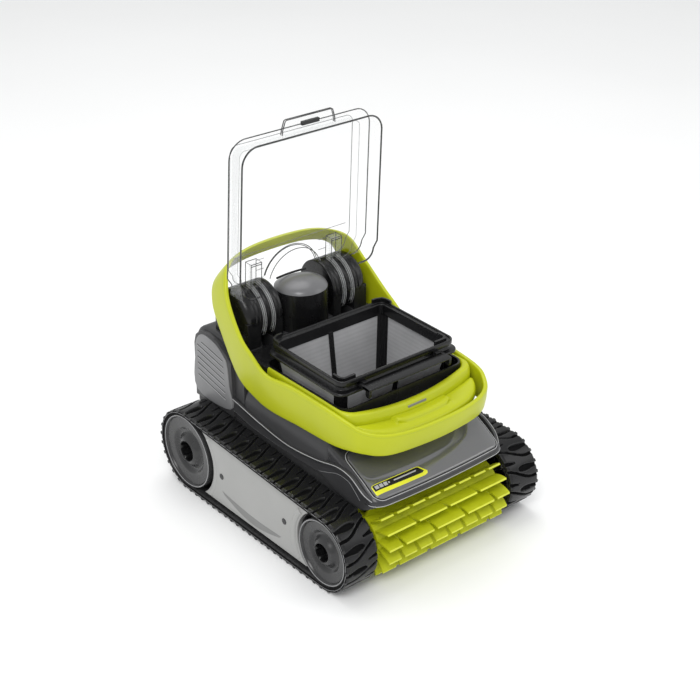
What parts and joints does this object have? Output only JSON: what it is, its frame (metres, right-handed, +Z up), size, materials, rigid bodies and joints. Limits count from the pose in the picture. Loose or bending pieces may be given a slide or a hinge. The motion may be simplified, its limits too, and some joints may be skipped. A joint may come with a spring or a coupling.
{
  "type": "pool cleaning robot",
  "caption": "Cordless tracked pool cleaner with a front brush, lift-out filter basket, clear hinged lid, side plates and a carry handle hoop.",
  "frame": {"origin": "on the floor, midway between the two wheel axles, on the centre plane", "axes": "X across the robot, minus Y is the front with the brush, plus Z up"},
  "size_m": [0.3372, 0.4229, 0.535],
  "materials": {
    "dark_plastic": "satin",
    "black_plastic": "gloss",
    "hood_gloss": "gloss",
    "badge": "gloss",
    "lime_plastic": "satin",
    "vent_grey": "satin",
    "side_grey": "satin",
    "track_rubber": "semi-gloss",
    "wheel_plastic": "satin",
    "brush_rubber": "matte",
    "filter_mesh": "woven",
    "clear_lid": "polished",
    "dome_grey": "satin",
    "zinc_steel": "plated",
    "motor_can": "satin",
    "battery_wrap": "film",
    "circuit_board": "lacquered",
    "white_plastic": "natural"
  },
  "bodies": {
    "chassis": {"chassis_tub": "dark_plastic", "inlet_duct": "dark_plastic", "battery_pack": "battery_wrap", "control_board": "circuit_board", "pump_motor": "motor_can", "body_shell": "dark_plastic", "front_hood": "dark_plastic", "hood_panel": "hood_gloss", "hood_badge": "badge", "rear_housing": "dark_plastic", "charge_port": "black_plastic", "basket_well": "black_plastic", "outlet_tower": "black_plastic", "outlet_cap": "dome_grey", "carry_handle": "lime_plastic", "bezel_ledge": "lime_plastic", "fenders": "dark_plastic", "brush_pin": "zinc_steel", "brush_motor": "motor_can", "side_plate_screws": "zinc_steel", "wheel_axles": "zinc_steel", "axle_clips": "zinc_steel", "track_belt_left": "track_rubber", "track_frame_left": "dark_plastic", "side_plate_left": "side_grey", "drive_motor_left": "motor_can", "rear_vent_left": "vent_grey", "hinge_saddle_left": "black_plastic", "track_belt_right": "track_rubber", "track_frame_right": "dark_plastic", "side_plate_right": "side_grey", "drive_motor_right": "motor_can", "rear_vent_right": "vent_grey", "hinge_saddle_right": "black_plastic"},
    "inlet_flap": {"inlet_flap": "black_plastic"},
    "impeller": {"impeller": "white_plastic"},
    "power_button": {"power_button": "lime_plastic"},
    "charge_cap": {"charge_port_cap": "black_plastic"},
    "catch": {"catch_tongue": "black_plastic"},
    "basket": {"basket_frame": "black_plastic", "basket_mesh": "filter_mesh", "basket_door": "black_plastic"},
    "basket_bail": {"basket_handle": "black_plastic"},
    "lid": {"lid_shell": "clear_lid", "lid_catch": "black_plastic", "lid_claws": "clear_lid"},
    "brush": {"brush_core": "black_plastic", "brush_sleeve": "brush_rubber"},
    "rear_wheel_left": {"rear_wheel_left": "wheel_plastic", "drive_gear_left": "white_plastic"},
    "front_wheel_left": {"front_wheel_left": "wheel_plastic"},
    "pinion_left": {"motor_pinion_left": "zinc_steel"},
    "rear_wheel_right": {"rear_wheel_right": "wheel_plastic", "drive_gear_right": "white_plastic"},
    "front_wheel_right": {"front_wheel_right": "wheel_plastic"},
    "pinion_right": {"motor_pinion_right": "zinc_steel"}
  },
  "joints": [
    {"name": "lid_hinge", "type": "hinge", "parent": "chassis", "child": "lid", "pos_m": [0, 0.12, 0.263], "axis": [-1, 0, 0], "range_deg": [-79, 0]},
    {"name": "basket_lift", "type": "slide", "parent": "chassis", "child": "basket", "axis": [0, 0, 1], "range_m": [0, 0.13]},
    {"name": "basket_handle_hinge", "type": "hinge", "parent": "basket", "child": "basket_bail", "pos_m": [0, -0.10798, 0.24242], "axis": [-1, 0, 0], "range_deg": [0, 80]},
    {"name": "catch_press", "type": "slide", "parent": "chassis", "child": "catch", "axis": [0, 1, 0], "range_m": [0, 0.004], "stiffness_N_per_m": 300},
    {"name": "power_button_press", "type": "slide", "parent": "chassis", "child": "power_button", "axis": [0, -1, 0], "range_m": [0, 0.0025], "stiffness_N_per_m": 500},
    {"name": "charge_cap_hinge", "type": "hinge", "parent": "chassis", "child": "charge_cap", "pos_m": [0.06, 0.198, 0.177], "axis": [1, 0, 0], "range_deg": [0, 110]},
    {"name": "inlet_flap_hinge", "type": "hinge", "parent": "chassis", "child": "inlet_flap", "pos_m": [0, -0.0255, 0.027], "axis": [-1, 0, 0], "range_deg": [0, 70]},
    {"name": "brush_spin", "type": "hinge", "parent": "chassis", "child": "brush", "pos_m": [0, -0.157, 0.056], "axis": [1, 0, 0], "continuous": true},
    {"name": "pump_spin", "type": "hinge", "parent": "chassis", "child": "impeller", "pos_m": [0, 0.099, 0.209], "axis": [0, 0, 1], "continuous": true},
    {"name": "rear_wheel_spin_left", "type": "hinge", "parent": "chassis", "child": "rear_wheel_left", "pos_m": [0, 0.15, 0.0614], "axis": [1, 0, 0], "continuous": true},
    {"name": "front_wheel_spin_left", "type": "hinge", "parent": "chassis", "child": "front_wheel_left", "pos_m": [0, -0.15, 0.0534], "axis": [1, 0, 0], "continuous": true},
    {"name": "pinion_spin_left", "type": "hinge", "parent": "chassis", "child": "pinion_left", "pos_m": [0, 0.12, 0.0614], "axis": [1, 0, 0], "continuous": true},
    {"name": "rear_wheel_spin_right", "type": "hinge", "parent": "chassis", "child": "rear_wheel_right", "pos_m": [0, 0.15, 0.0614], "axis": [1, 0, 0], "continuous": true},
    {"name": "front_wheel_spin_right", "type": "hinge", "parent": "chassis", "child": "front_wheel_right", "pos_m": [0, -0.15, 0.0534], "axis": [1, 0, 0], "continuous": true},
    {"name": "pinion_spin_right", "type": "hinge", "parent": "chassis", "child": "pinion_right", "pos_m": [0, 0.12, 0.0614], "axis": [1, 0, 0], "continuous": true}
  ],
  "couplings": [
    {"joint": "front_wheel_spin_left", "follows": "rear_wheel_spin_left", "ratio": 1.166},
    {"joint": "pinion_spin_left", "follows": "rear_wheel_spin_left", "ratio": -3},
    {"joint": "front_wheel_spin_right", "follows": "rear_wheel_spin_right", "ratio": 1.166},
    {"joint": "pinion_spin_right", "follows": "rear_wheel_spin_right", "ratio": -3}
  ]
}
